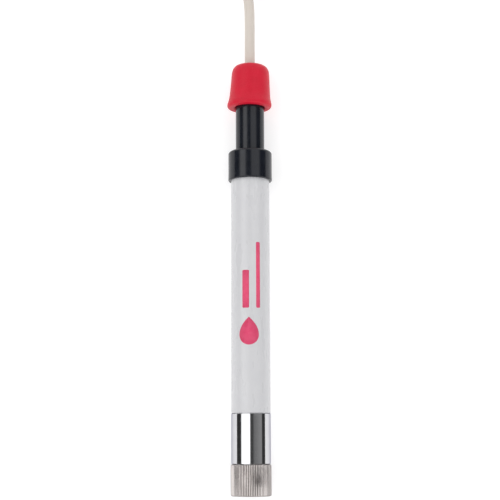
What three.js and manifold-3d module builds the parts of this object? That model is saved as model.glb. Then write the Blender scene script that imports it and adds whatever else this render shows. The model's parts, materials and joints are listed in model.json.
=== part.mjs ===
// A dissolved oxygen probe for testing water, lying on its side with its cable put away in a hank.
// Units are millimetres. +Z is up, the probe's axis runs along Y and its sensing tip points to -Y.
// Inside the probe group, y is the distance from the tip along the axis. Meshes that would touch in
// the real object keep a clearance, so that every piece is a solid of its own.
import * as THREE from "three";
import { mergeVertices } from "three/addons/utils/BufferGeometryUtils.js";
import Module from "manifold-3d";

const wasm = await Module();
wasm.setup();

// Lengths along the axis, counted from the tip.
const CAP_LENGTH = 12.5;
const SLEEVE_TOP = 32.6;
const TUBE_BOTTOM = 32.9;
const TUBE_TOP = 136.6;
const COLLAR_BOTTOM = 129;
const COLLAR_TOP = 141.4;
const NECK_TOP = 167.5;
const BOOT_BOTTOM = 160.3;
const PROBE_LENGTH = 179.6;
const JACKET_END = 152;

// Radii about the axis.
const TUBE_RADIUS = 8;
const TUBE_BORE = 6.9;
const NECK_RADIUS = 6;
const COLLAR_RADIUS = 9.1;
const BOOT_LIP_RADIUS = 9.25;
const CAP_RADIUS = 8.2;
const CAP_BORE = 6.6;
const WINDOW_RADIUS = 4.3;
const SPIGOT_RADIUS = 5.9;
const CABLE_RADIUS = 2.15;

const GAP = 0.3;
const CABLE_BORE = CABLE_RADIUS + GAP;
const WIRE_RADIUS = 0.35;
const LEAD_RADIUS = 0.2;

const KNURL_RIDGES = 44;
const KNURL_DEPTH = 0.35;
const THREAD_PITCH = 1;
const THREAD_TURNS = 5;
const THREAD_START = 5.4;
const THREAD_RADIUS = 0.4;

const MAIN_FACETS = 36;
const SMALL_FACETS = 24;
const WIRE_FACETS = 8;

// The circuit board lies across the axis's plane, with its wires on its upper face.
const BOARD = { width: 11, length: 46, thickness: 1.2, bottom: 70 };
const WIRE_HEIGHT = BOARD.thickness / 2 + GAP + WIRE_RADIUS;
const WIRE_OVERLAP = 3;

// The hank: five turns in two columns and three layers, raised by the tie under it.
const HANK = {
  near: 196,
  straight: 42,
  fold: 3 * 2 * CABLE_RADIUS,
  columns: 2,
  layers: 3,
  waist: 2,
  base: 1,
};
const TIE = { width: 8, thickness: 0.7, side: 0.5, corner: 1.4 };

// The plug lies beside the cable, between the boot and the hank.
const PLUG = { x: 12, y: 130, length: 43, ring: 7.25, pins: 4, pinCircle: 2.3 };

// The cable's route outside the hank, in the part's own frame.
const LEAD_ROUTE = [
  [0, 62.2, 9.25],
  [0, 76, 9.25],
  [0, 90, 9.25],
  [0, 99, 9.25],
  [-0.15, 108, 9.2],
  [-0.5, 117, 8.9],
  [-1.6, 125, 8.1],
  [-3.9, 134, 6.4],
  [-7, 143, 4.4],
  [-10.4, 152, 2.9],
  [-13.4, 160, 2.3],
  [-15.7, 168.5, 2.3],
  [-16.8, 176.5, 2.6],
  [-17.15, 183.4, 3],
];
const TAIL_ROUTE = [
  [13.25, 179.8, 7.35],
  [12.3, 176.2, 7.28],
  [12, 173.3, 7.25],
];

// ---- looks ----

function look(colour, roughness, metalness = 0) {
  return new THREE.MeshStandardMaterial({ color: colour, roughness, metalness });
}

const steel = () => look(0xd9d9dc, 0.12, 1);
const knurledSteel = () => look(0xc4bcba, 0.3, 1);
const greyPlastic = () => look(0xd2d1d8, 0.45);
const blackPlastic = () => look(0x1b1c22, 0.25);
const redRubber = () => look(0xd6203f, 0.6);
const blackRubber = () => look(0x151515, 0.7);
const cableJacket = () => look(0xcdc8be, 0.5);
const brass = () => look(0xc9a050, 0.3, 1);
const whitePlastic = () => look(0xe8e6df, 0.4);
const epoxy = () => look(0x22252c, 0.3);
const silver = () => look(0xe3e2de, 0.25, 1);
const zinc = () => look(0x9a9da2, 0.6, 1);
const boardGreen = () => look(0x1f6b3a, 0.5);
const wireColours = [0xb81f26, 0x1a1a1c, 0xe6e2da, 0x2f8f46];

// ---- shapes ----

function named(name, material, geometry) {
  const mesh = new THREE.Mesh(geometry, material);
  mesh.name = name;
  return mesh;
}

// Turns an outline of [radius, along] points about the axis. An outline that doesn't start on
// the axis is closed on itself.
function turnedGeometry(outline, facets = MAIN_FACETS) {
  const points = outline.map(([radius, along]) => new THREE.Vector2(radius, along));
  if (outline[0][0] > 0) {
    points.push(points[0].clone());
  }
  return new THREE.LatheGeometry(points, facets);
}

function turned(name, material, outline, facets) {
  return named(name, material, turnedGeometry(outline, facets));
}

function ring(inner, outer, low, high) {
  return [
    [inner, low],
    [outer, low],
    [outer, high],
    [inner, high],
  ];
}

function disc(radius, low, high) {
  return [
    [0, low],
    [radius, low],
    [radius, high],
    [0, high],
  ];
}

// Points of a quarter round or other arc, from one angle to another, without its first point.
function arc(centreRadius, centreAlong, size, from, to, steps) {
  const points = [];
  for (let i = 1; i <= steps; i += 1) {
    const angle = THREE.MathUtils.degToRad(from + ((to - from) * i) / steps);
    points.push([centreRadius + size * Math.cos(angle), centreAlong + size * Math.sin(angle)]);
  }
  return points;
}

// Cuts straight grooves into a turned wall by drawing in every second column of vertices.
function knurl(geometry, outlinePoints, valleyRadius) {
  const position = geometry.attributes.position;
  for (let i = 0; i < position.count; i += 1) {
    const column = Math.floor(i / outlinePoints);
    const radius = Math.hypot(position.getX(i), position.getZ(i));
    if (column % 2 === 1 && radius > valleyRadius) {
      const scale = valleyRadius / radius;
      position.setX(i, position.getX(i) * scale);
      position.setZ(i, position.getZ(i) * scale);
    }
  }
  return geometry;
}

function oRing(name, centreRadius, sectionRadius, along) {
  const geometry = new THREE.TorusGeometry(centreRadius, sectionRadius, 6, SMALL_FACETS);
  const mesh = named(name, blackRubber(), geometry);
  mesh.rotation.x = Math.PI / 2;
  mesh.position.y = along;
  return mesh;
}

// Draws a flat outline in x and z out along the axis, from low to high.
function drawnOut(name, material, shape, low, high, curveSegments = 12) {
  const settings = { depth: high - low, bevelEnabled: false, curveSegments };
  const mesh = named(name, material, new THREE.ExtrudeGeometry(shape, settings));
  mesh.rotation.x = Math.PI / 2;
  mesh.position.y = high;
  return mesh;
}

function circle(x, y, radius, Kind = THREE.Shape) {
  return new Kind().absarc(x, y, radius, 0, 2 * Math.PI, false);
}

// A round cord or wire that follows a smooth curve through the points.
function corded(name, material, points, radius, facets, steps) {
  const vectors = points.map((p) => new THREE.Vector3(...p));
  const section = new THREE.Shape();
  for (let i = 0; i < facets; i += 1) {
    const angle = (2 * Math.PI * i) / facets;
    const method = i === 0 ? "moveTo" : "lineTo";
    section[method](radius * Math.cos(angle), radius * Math.sin(angle));
  }
  section.closePath();
  const extrudePath = new THREE.CatmullRomCurve3(vectors, false, "centripetal");
  return named(name, material, new THREE.ExtrudeGeometry(section, { extrudePath, steps }));
}

function straightWire(name, colour, x, low, high, radius = WIRE_RADIUS) {
  const geometry = new THREE.CylinderGeometry(radius, radius, high - low, WIRE_FACETS);
  const mesh = named(name, look(colour, 0.5), geometry);
  mesh.position.set(x, (low + high) / 2, WIRE_HEIGHT);
  return mesh;
}

// ---- joining and cutting solids ----

function solidOf(geometry) {
  const bare = geometry.clone();
  bare.deleteAttribute("normal");
  bare.deleteAttribute("uv");
  const merged = mergeVertices(bare, 1e-3);
  const vertProperties = merged.attributes.position.array;
  const triVerts = new Uint32Array(merged.index.array);
  return new wasm.Manifold(new wasm.Mesh({ numProp: 3, vertProperties, triVerts }));
}

function geometryOf(solid) {
  const mesh = solid.getMesh();
  const geometry = new THREE.BufferGeometry();
  geometry.setAttribute("position", new THREE.BufferAttribute(mesh.vertProperties, 3));
  geometry.setIndex(new THREE.BufferAttribute(mesh.triVerts, 1));
  geometry.computeVertexNormals();
  return geometry;
}

// ---- the sensing end ----

class ScrewThread extends THREE.Curve {
  getPoint(t, target = new THREE.Vector3()) {
    const angle = 2 * Math.PI * THREAD_TURNS * t;
    const along = THREAD_START + THREAD_PITCH * THREAD_TURNS * t;
    return target.set(SPIGOT_RADIUS * Math.cos(angle), along, -SPIGOT_RADIUS * Math.sin(angle));
  }
}

function membraneCap() {
  const rim = CAP_RADIUS - 0.45;
  const outline = [
    [WINDOW_RADIUS, 0],
    [rim, 0],
    [CAP_RADIUS, 0.4],
    [CAP_RADIUS, CAP_LENGTH - 0.45],
    [rim, CAP_LENGTH],
    [7.5, CAP_LENGTH],
    [7.5, 11.1],
    [CAP_BORE, 11.1],
    [CAP_BORE, 1.5],
    [WINDOW_RADIUS, 1.5],
  ];
  const geometry = turnedGeometry(outline, 2 * KNURL_RIDGES);
  knurl(geometry, outline.length + 1, CAP_RADIUS - KNURL_DEPTH);
  return named("membrane_cap", knurledSteel(), geometry);
}

function steelSleeve() {
  const body = turnedGeometry([
    [5, 4.6],
    [SPIGOT_RADIUS, 4.6],
    [SPIGOT_RADIUS, CAP_LENGTH + GAP],
    [TUBE_RADIUS - 0.4, CAP_LENGTH + GAP],
    [TUBE_RADIUS, CAP_LENGTH + GAP + 0.4],
    [TUBE_RADIUS, SLEEVE_TOP],
    [TUBE_BORE - GAP, SLEEVE_TOP],
    [TUBE_BORE - GAP, 42],
    [5.6, 42],
    [5.6, 17],
    [5, 17],
  ]);
  const section = circle(0, 0, THREAD_RADIUS);
  const thread = new THREE.ExtrudeGeometry(section, {
    extrudePath: new ScrewThread(),
    steps: 12 * THREAD_TURNS,
    curveSegments: 3,
  });
  return named("steel_sleeve", steel(), geometryOf(solidOf(body).add(solidOf(thread))));
}

function electrodeCore() {
  return turned("electrode_core", epoxy(), [
    [0, 9.5],
    [1.9, 9.5],
    [1.9, 5.8],
    [2.6, 5.8],
    [2.6, 16.7],
    [4.7, 16.7],
    [4.7, 17.3],
    [5.3, 17.3],
    [5.3, 20],
    [4.6, 20],
    [4.6, 21.6],
    [5.3, 21.6],
    [5.3, 23],
    [2.6, 23],
    [2.6, 30],
    [0, 30],
  ], SMALL_FACETS);
}

function cathodeHolder() {
  return turned("cathode_holder", whitePlastic(), [
    [0, 3.2],
    [2.3, 3.2],
    [2.3, 2.3],
    [3.6, 2.3],
    [3.9, 2.7],
    [3.9, 5.5],
    [1.6, 5.5],
    [1.6, 9.2],
    [0, 9.2],
  ], SMALL_FACETS);
}

function sensingEnd() {
  const end = new THREE.Group();
  end.add(
    membraneCap(),
    turned("membrane", whitePlastic(), disc(5.8, 1.8, 2), SMALL_FACETS),
    turned("membrane_carrier", blackPlastic(), ring(4.4, 6.2, 2.3, 4), SMALL_FACETS),
    oRing("cap_o_ring", 6.75, 0.45, 11.85),
    steelSleeve(),
    electrodeCore(),
    cathodeHolder(),
    turned("cathode_disc", silver(), disc(2, 2.35, 2.9), SMALL_FACETS),
    turned("anode_sleeve", zinc(), ring(2.9, 4.4, 6.1, 16.4), SMALL_FACETS),
    oRing("core_o_ring", 5, 0.3, 20.8),
    turned("core_nut", brass(), ring(2.9, 5.3, 23.3, 26), SMALL_FACETS),
  );
  return end;
}

// ---- inside the body tube ----

const PAIR_X = 3.7;
const LEAD_SPREAD = 0.35;

function thermistor() {
  const bead = turned("thermistor", epoxy(), [
    [0, 26.8],
    [0.7, 26.9],
    [1, 27.4],
    [1, 31.2],
    [0, 31.2],
  ], 12);
  bead.position.set(PAIR_X, 0, WIRE_HEIGHT);
  return bead;
}

function pottingPlug() {
  const shape = circle(0, 0, 5.3);
  shape.holes.push(circle(-1, WIRE_HEIGHT, WIRE_RADIUS + GAP, THREE.Path));
  shape.holes.push(circle(1, WIRE_HEIGHT, WIRE_RADIUS + GAP, THREE.Path));
  shape.holes.push(circle(PAIR_X, WIRE_HEIGHT, LEAD_SPREAD + LEAD_RADIUS + GAP, THREE.Path));
  return drawnOut("potting_plug", epoxy(), shape, 34, 41);
}

function circuitBoard() {
  const size = [BOARD.width, BOARD.length, BOARD.thickness];
  const board = named("circuit_board", boardGreen(), new THREE.BoxGeometry(...size));
  board.position.y = BOARD.bottom + BOARD.length / 2;
  return board;
}

function loadResistor() {
  const resistor = turned("load_resistor", look(0xc9b48a, 0.5), [
    [0, -6],
    [0.3, -6],
    [0.3, -3],
    [1.1, -2.6],
    [1.1, 2.6],
    [0.3, 3],
    [0.3, 6],
    [0, 6],
  ], 12);
  resistor.position.set(0, BOARD.bottom + 20, BOARD.thickness / 2 + GAP + 1.1);
  return resistor;
}

// Four conductors fan out from the end of the cable's jacket to the board's upper face.
function conductor(index) {
  const boardTop = BOARD.bottom + BOARD.length;
  const across = -3 + 2 * index;
  const startX = index < 2 ? -0.75 : 0.75;
  const startZ = index === 0 || index === 3 ? -0.75 : 0.75;
  const points = [
    [startX, JACKET_END - GAP, startZ],
    [startX, JACKET_END - 6, startZ],
    [(startX + across) / 2, 132, (startZ + WIRE_HEIGHT) / 2],
    [across, boardTop + 3, WIRE_HEIGHT],
    [across, boardTop - WIRE_OVERLAP, WIRE_HEIGHT],
  ];
  const material = look(wireColours[index], 0.5);
  return corded(`conductor_${index + 1}`, material, points, WIRE_RADIUS, WIRE_FACETS, 10);
}

function electronics() {
  const inside = new THREE.Group();
  const wireEnd = BOARD.bottom + WIRE_OVERLAP;
  const leads = [PAIR_X - LEAD_SPREAD, PAIR_X + LEAD_SPREAD];
  inside.add(
    thermistor(),
    pottingPlug(),
    circuitBoard(),
    loadResistor(),
    straightWire("cathode_wire", 0xe6e2da, -1, 30.3, wireEnd),
    straightWire("anode_wire", 0x1a1a1c, 1, 30.3, wireEnd),
    straightWire("thermistor_lead_1", 0xb08d57, leads[0], 31.5, wireEnd, LEAD_RADIUS),
    straightWire("thermistor_lead_2", 0xb08d57, leads[1], 31.5, wireEnd, LEAD_RADIUS),
  );
  for (let index = 0; index < 4; index += 1) {
    inside.add(conductor(index));
  }
  return inside;
}

// ---- the tube, collar, neck and boot ----

const bodyTube = () =>
  turned("body_tube", greyPlastic(), ring(TUBE_BORE, TUBE_RADIUS, TUBE_BOTTOM, TUBE_TOP));

function topCollar() {
  const socket = TUBE_RADIUS + GAP;
  const fillet = 0.8;
  return turned("top_collar", blackPlastic(), [
    [socket, COLLAR_BOTTOM],
    [COLLAR_RADIUS, COLLAR_BOTTOM],
    [COLLAR_RADIUS, COLLAR_TOP - fillet],
    ...arc(COLLAR_RADIUS - fillet, COLLAR_TOP - fillet, fillet, 0, 90, 3),
    [NECK_RADIUS + GAP, COLLAR_TOP],
    [NECK_RADIUS + GAP, COLLAR_TOP - 2],
    [socket, COLLAR_TOP - 2],
  ]);
}

// The neck's flange is held between the end of the body tube and the collar's web.
function neckTube() {
  return turned("neck_tube", blackPlastic(), [
    [3.6, 131],
    [TUBE_BORE - GAP, 131],
    [TUBE_BORE - GAP, 132.4],
    [5.7, 132.4],
    [5.7, 134.4],
    [TUBE_BORE - GAP, 134.4],
    [TUBE_BORE - GAP, TUBE_TOP + GAP],
    [TUBE_RADIUS, TUBE_TOP + GAP],
    [TUBE_RADIUS, 139.1],
    [NECK_RADIUS, 139.1],
    [NECK_RADIUS, NECK_TOP],
    [4.4, NECK_TOP],
    [4.4, 157.5],
    [3.6, 157.5],
  ]);
}

// A hexagon head outside the neck's mouth and a round shank that presses on the cable seal.
function glandNut() {
  const head = new THREE.CylinderGeometry(5.6, 5.6, 3, 6).translate(0, 169.3, 0);
  const shank = new THREE.CylinderGeometry(4.1, 4.1, 4.7, SMALL_FACETS).translate(0, 165.65, 0);
  const bore = new THREE.CylinderGeometry(CABLE_BORE, CABLE_BORE, 12, SMALL_FACETS);
  bore.translate(0, 167, 0);
  const solid = solidOf(head).add(solidOf(shank)).subtract(solidOf(bore));
  return named("gland_nut", brass(), geometryOf(solid));
}

// A soft boot with a rolled lip, a slightly tapered skirt and a domed top.
function cableBoot() {
  const inner = NECK_RADIUS + GAP;
  return turned("cable_boot", redRubber(), [
    [inner, BOOT_BOTTOM + 0.6],
    [7.1, BOOT_BOTTOM],
    [8.3, BOOT_BOTTOM + 0.3],
    [BOOT_LIP_RADIUS, BOOT_BOTTOM + 1.7],
    [8.82, BOOT_BOTTOM + 4.2],
    [8.5, BOOT_BOTTOM + 8.3],
    [8.12, BOOT_BOTTOM + 12.5],
    [8.05, BOOT_BOTTOM + 15.2],
    [7.55, BOOT_BOTTOM + 17.2],
    [6.2, BOOT_BOTTOM + 18.6],
    [4, PROBE_LENGTH - 0.1],
    [CABLE_BORE, PROBE_LENGTH],
    [CABLE_BORE, 174],
    [4.6, 173],
    [inner, 171.6],
  ], 36);
}

function head() {
  const top = new THREE.Group();
  top.add(
    bodyTube(),
    topCollar(),
    neckTube(),
    oRing("neck_o_ring", 6.2, 0.35, 133.4),
    turned("cable_ferrule", brass(), ring(CABLE_BORE, 3.3, 152.6, 157.2), SMALL_FACETS),
    turned("gland_washer", steel(), ring(CABLE_BORE, 4.1, 157.8, 158.6), SMALL_FACETS),
    turned("cable_seal", blackRubber(), ring(CABLE_BORE, 4.1, 158.9, 163), SMALL_FACETS),
    glandNut(),
    cableBoot(),
  );
  return top;
}

// ---- the cable, its hank and its plug ----

// Half the hank's width at a share of its straight length, drawn in where the tie holds it.
function hankOutline(Kind, radius) {
  const outline = new Kind();
  const steps = 8;
  const far = HANK.near + HANK.straight;
  const side = (share) => radius - HANK.waist * Math.sin(Math.PI * share) ** 2;
  outline.moveTo(radius, HANK.near);
  for (let i = 1; i <= steps; i += 1) {
    outline.lineTo(side(i / steps), HANK.near + (HANK.straight * i) / steps);
  }
  outline.absarc(0, far, radius, 0, Math.PI, false);
  for (let i = 1; i <= steps; i += 1) {
    outline.lineTo(-side(i / steps), far - (HANK.straight * i) / steps);
  }
  outline.absarc(0, HANK.near, radius, Math.PI, 2 * Math.PI, false);
  return outline;
}

function cableHank() {
  const diameter = 2 * CABLE_RADIUS;
  const shape = hankOutline(THREE.Shape, HANK.fold + (HANK.columns - 0.5) * diameter);
  shape.holes.push(hankOutline(THREE.Path, HANK.fold - CABLE_RADIUS));
  const settings = { depth: HANK.layers * diameter, bevelEnabled: false, curveSegments: 10 };
  const hank = named("cable_hank", cableJacket(), new THREE.ExtrudeGeometry(shape, settings));
  hank.position.z = HANK.base;
  return hank;
}

function roundedBand(Kind, halfWidth, low, high, corner) {
  const band = new Kind();
  band.absarc(halfWidth - corner, low + corner, corner, -Math.PI / 2, 0, false);
  band.absarc(halfWidth - corner, high - corner, corner, 0, Math.PI / 2, false);
  band.absarc(corner - halfWidth, high - corner, corner, Math.PI / 2, Math.PI, false);
  band.absarc(corner - halfWidth, low + corner, corner, Math.PI, 1.5 * Math.PI, false);
  return band;
}

function hankTie() {
  const diameter = 2 * CABLE_RADIUS;
  const inside = HANK.fold + (HANK.columns - 0.5) * diameter - HANK.waist + TIE.side;
  const top = HANK.base + HANK.layers * diameter + GAP;
  const outside = inside + TIE.thickness;
  const shape = roundedBand(THREE.Shape, outside, 0, top + TIE.thickness, TIE.corner);
  const bore = TIE.corner - TIE.thickness;
  shape.holes.push(roundedBand(THREE.Path, inside, TIE.thickness, top, bore));
  const middle = HANK.near + HANK.straight / 2;
  const half = TIE.width / 2;
  return drawnOut("hank_tie", blackPlastic(), shape, middle - half, middle + half, 4);
}

function plugRing() {
  const outline = [
    [5.2, 0],
    [5.6, 0],
    [5.9, 0.4],
    [5.9, 7],
    [PLUG.ring - 0.4, 7],
    [PLUG.ring, 7.5],
    [PLUG.ring, 18.9],
    [PLUG.ring - 0.4, 19.4],
    [5.2, 19.4],
    [5.2, 13],
    [4.5, 13],
    [4.5, 11],
    [5.2, 11],
  ];
  const ridges = 18;
  const geometry = turnedGeometry(outline, 2 * ridges);
  knurl(geometry, outline.length + 1, PLUG.ring - 0.35);
  return named("plug_ring", steel(), geometry);
}

function pinPlace(index) {
  const angle = Math.PI / 4 + (index * 2 * Math.PI) / PLUG.pins;
  return [PLUG.pinCircle * Math.cos(angle), PLUG.pinCircle * Math.sin(angle)];
}

function plugPin(index) {
  const [x, z] = pinPlace(index);
  const pin = turned(`plug_pin_${index + 1}`, brass(), [
    [0, 2.8],
    [0.3, 2.8],
    [0.5, 3.2],
    [0.5, 15.4],
    [0, 15.4],
  ], 10);
  pin.position.set(x, 0, z);
  return pin;
}

function plugInsert() {
  const body = turnedGeometry([
    [0, 8.2],
    [4.9, 8.2],
    [4.9, 10.7],
    [4.2, 10.7],
    [4.2, 16],
    [0, 16],
  ], SMALL_FACETS);
  let solid = solidOf(body);
  for (let index = 0; index < PLUG.pins; index += 1) {
    const [x, z] = pinPlace(index);
    const hole = new THREE.CylinderGeometry(0.8, 0.8, 12, 10).translate(x, 12, z);
    solid = solid.subtract(solidOf(hole));
  }
  return named("plug_insert", blackPlastic(), geometryOf(solid));
}

function plugBody() {
  return turned("plug_body", greyPlastic(), [
    [0, 16.3],
    [4.9, 16.3],
    [4.9, 20],
    [5.7, 20],
    [6, 20.3],
    [6, 31],
    [3.7, 36],
    [3.5, PLUG.length - 0.3],
    [3.2, PLUG.length],
    [CABLE_BORE, PLUG.length],
    [CABLE_BORE, 38],
    [0, 38],
  ], SMALL_FACETS);
}

function plug() {
  const assembly = new THREE.Group();
  assembly.add(plugRing(), plugInsert(), plugBody());
  for (let index = 0; index < PLUG.pins; index += 1) {
    assembly.add(plugPin(index));
  }
  assembly.position.set(PLUG.x, PLUG.y, PLUG.ring);
  return assembly;
}

// ---- assembly ----

const probe = new THREE.Group();
probe.add(sensingEnd(), electronics(), head());
probe.position.set(0, -PROBE_LENGTH / 2, BOOT_LIP_RADIUS);

const part = new THREE.Group();
part.add(
  probe,
  corded("cable", cableJacket(), LEAD_ROUTE, CABLE_RADIUS, 10, 16),
  cableHank(),
  hankTie(),
  corded("cable_tail", cableJacket(), TAIL_ROUTE, CABLE_RADIUS, 10, 2),
  plug(),
);

export default part;
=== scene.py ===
import json
import math
from collections import namedtuple

import bmesh
import bpy
from mathutils import Matrix, Vector


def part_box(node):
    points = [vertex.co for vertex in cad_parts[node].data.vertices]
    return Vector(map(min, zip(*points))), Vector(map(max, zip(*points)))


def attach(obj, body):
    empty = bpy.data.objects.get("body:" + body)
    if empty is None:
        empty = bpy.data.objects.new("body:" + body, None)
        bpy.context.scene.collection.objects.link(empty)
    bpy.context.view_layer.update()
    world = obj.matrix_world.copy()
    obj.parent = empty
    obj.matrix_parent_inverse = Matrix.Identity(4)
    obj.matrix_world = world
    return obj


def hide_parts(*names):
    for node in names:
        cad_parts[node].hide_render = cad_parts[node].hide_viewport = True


# A dissolved oxygen probe lying on a pale table, with its cable put away in a hank behind it.
# Shapes are worked out in millimetres and placed in the frame's metres when a piece is finished.
# The probe lies along Y with its sensing tip at -Y. Distances "along" it are counted from the tip.
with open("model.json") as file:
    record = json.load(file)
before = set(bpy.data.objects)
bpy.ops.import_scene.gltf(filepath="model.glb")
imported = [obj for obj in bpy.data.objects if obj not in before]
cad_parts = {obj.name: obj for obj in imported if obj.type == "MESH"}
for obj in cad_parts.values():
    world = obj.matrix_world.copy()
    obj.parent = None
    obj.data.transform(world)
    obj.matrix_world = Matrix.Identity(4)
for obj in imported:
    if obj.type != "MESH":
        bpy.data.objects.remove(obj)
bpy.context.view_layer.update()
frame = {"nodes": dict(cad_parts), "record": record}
record = frame["record"]

MM = 0.001
BODY_OF = {n: body for body, nodes in record["behaviour"]["bodies"].items() for n in nodes}
SLOT_OF = {part["node"]: part["material_slot"] for part in record["subparts"]}

Span = namedtuple("Span", "radius low high")


def middle(node):
    """The middle of a CAD node's box, in metres."""
    low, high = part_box(node)
    return (low + high) / 2


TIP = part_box("membrane_cap")[0].y
AXIS_HEIGHT = middle("body_tube").z
PLUG_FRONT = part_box("plug_ring")[0].y

ON_AXIS = Matrix.Translation((0, TIP, AXIS_HEIGHT)) @ Matrix.Scale(MM, 4)
ON_PLUG = (
    Matrix.Translation((middle("plug_ring").x, PLUG_FRONT, middle("plug_ring").z))
    @ Matrix.Scale(MM, 4)
)
ON_TABLE = Matrix.Scale(MM, 4)


def span(node, start=TIP):
    """A turned node's radius and its two ends along the axis, in millimetres."""
    low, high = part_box(node)
    return Span((high.x - low.x) / 2 / MM, (low.y - start) / MM, (high.y - start) / MM)


CAP = span("membrane_cap")
TUBE = span("body_tube")
COLLAR = span("top_collar")
NECK = span("neck_tube")
BOOT = span("cable_boot")

NECK_RADIUS = 6.0
CABLE_RADIUS = 2.15
SEAM = 0.12


# ---- camera, lights and table ----

PITCH = math.radians(9.35)
LEAN = math.radians(-0.19)
EYE = Vector((-0.16, -70.6, 499.5)) * MM
LENS = 86.4


def set_camera():
    camera = bpy.data.objects.new("camera", bpy.data.cameras.new("camera"))
    camera.data.lens = LENS
    camera.data.sensor_width = 36
    camera.data.clip_start = 0.01
    camera.data.clip_end = 20
    camera.matrix_world = (
        Matrix.Translation(EYE) @ Matrix.Rotation(PITCH, 4, "X") @ Matrix.Rotation(LEAN, 4, "Z")
    )
    bpy.context.scene.collection.objects.link(camera)
    bpy.context.scene.camera = camera


def set_table():
    bm = bmesh.new()
    bmesh.ops.create_circle(bm, cap_ends=True, segments=64, radius=6)
    mesh = bpy.data.meshes.new("table")
    bm.to_mesh(mesh)
    bm.free()
    table = bpy.data.objects.new("table", mesh)
    bpy.context.scene.collection.objects.link(table)
    white = bpy.data.materials.new("table_white")
    white.use_nodes = True
    surface = white.node_tree.nodes["Principled BSDF"]
    surface.inputs["Base Color"].default_value = (0.55, 0.55, 0.555, 1)
    surface.inputs["Roughness"].default_value = 0.9
    surface.inputs["Emission Color"].default_value = (1, 1, 1, 1)
    surface.inputs["Emission Strength"].default_value = 0.58
    mesh.materials.append(white)


# The studio's brightness by direction round the probe: degrees from overhead, towards +X.
AROUND_THE_TIP = [
    (-102, 0.04), (-60, 0.04), (-55, 1.9), (-8, 1.9), (-3, 0.08), (11, 0.06), (18, 0.19),
    (64, 0.34), (69, 0.04), (102, 0.05),
]
AROUND_THE_NECK = [
    (-102, 0.04), (-60, 0.04), (-52, 2.1), (-28, 2.1), (-19, 0.02), (1, 0.02), (9, 1.3),
    (46, 1.3), (56, 0.04), (102, 0.04),
]
BRIGHTEST = 2.6
FILL = 1.15
LOPSIDED = 0.13


def set_surroundings():
    """A plain soft studio: an even dome with a darker belt across it, where a soft box on the
    left and a grey card on the right show up as bands in the steel and the black plastic."""
    world = bpy.data.worlds.new("studio")
    world.use_nodes = True
    bpy.context.scene.world = world
    bpy.context.scene.view_settings.view_transform = "Standard"
    tree = world.node_tree
    link = tree.links.new

    def math_node(operation, first, second):
        node = tree.nodes.new("ShaderNodeMath")
        node.operation = operation
        for socket, value in zip(node.inputs, (first, second)):
            if isinstance(value, (int, float)):
                socket.default_value = value
            else:
                link(value, socket)
        return node.outputs[0]

    def step_between(value, start, end, low=0.0, high=1.0):
        node = tree.nodes.new("ShaderNodeMapRange")
        for socket, number in zip(node.inputs[1:5], (start, end, low, high)):
            socket.default_value = number
        link(value, node.inputs[0])
        return node.outputs[0]

    def brightness(stops, turn):
        node = tree.nodes.new("ShaderNodeValToRGB")
        elements = node.color_ramp.elements
        elements.remove(elements[-1])
        for number, (degrees, value) in enumerate(stops):
            element = elements.new(degrees / 360 + 0.5) if number else elements[0]
            if number == 0:
                element.position = degrees / 360 + 0.5
            element.color = (*[value / BRIGHTEST] * 3, 1)
        link(turn, node.inputs["Fac"])
        return node.outputs["Color"]

    def mixed(share, first, second):
        return math_node("ADD", math_node("MULTIPLY", first, math_node("SUBTRACT", 1.0, share)),
                         math_node("MULTIPLY", second, share))

    split = tree.nodes.new("ShaderNodeSeparateXYZ")
    link(tree.nodes.new("ShaderNodeTexCoord").outputs["Generated"], split.inputs[0])
    across, along, up = split.outputs
    turn = step_between(math_node("ARCTAN2", across, up), -math.pi, math.pi)
    belt = mixed(step_between(along, 0.08, 0.16), brightness(AROUND_THE_TIP, turn),
                 brightness(AROUND_THE_NECK, turn))
    inside = math_node("MULTIPLY", step_between(along, -0.2, -0.14),
                       step_between(along, 0.36, 0.42, 1.0, 0.0))
    dome = step_between(across, -1, 1, FILL * (1 - LOPSIDED), FILL * (1 + LOPSIDED))
    light = mixed(inside, dome, math_node("MULTIPLY", belt, BRIGHTEST))
    seen_directly = tree.nodes.new("ShaderNodeLightPath").outputs["Is Camera Ray"]
    light = mixed(seen_directly, light, 1.0)
    background = tree.nodes["Background"]
    background.inputs["Color"].default_value = (1, 1, 1, 1)
    link(light, background.inputs["Strength"])
    set_table()


set_camera()
set_surroundings()


# ---- making meshes ----


def finished(name, bm, place=ON_AXIS, crease=35):
    """Makes a bmesh in millimetres into an object whose place is in its mesh."""
    bmesh.ops.remove_doubles(bm, verts=bm.verts, dist=0.002)
    bmesh.ops.recalc_face_normals(bm, faces=bm.faces)
    bmesh.ops.transform(bm, matrix=place, verts=bm.verts)
    for face in bm.faces:
        face.smooth = True
    mesh = bpy.data.meshes.new(name)
    bm.to_mesh(mesh)
    bm.free()
    mesh.set_sharp_from_angle(angle=math.radians(crease))
    piece = bpy.data.objects.new(name, mesh)
    bpy.context.scene.collection.objects.link(piece)
    return piece


def even_shading(piece):
    """Keeps the flats of a hard piece flat beside its rounded edges."""
    modifier = piece.modifiers.new("even_shading", "WEIGHTED_NORMAL")
    modifier.keep_sharp = True
    modifier.weight = 100
    return piece


def spin_round(bm, steps):
    """Spins everything in a bmesh once about the axis."""
    bmesh.ops.spin(bm, geom=bm.verts[:] + bm.edges[:], cent=(0, 0, 0), axis=(0, 1, 0),
                   dvec=(0, 0, 0), angle=2 * math.pi, steps=steps, use_merge=True)


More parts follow.
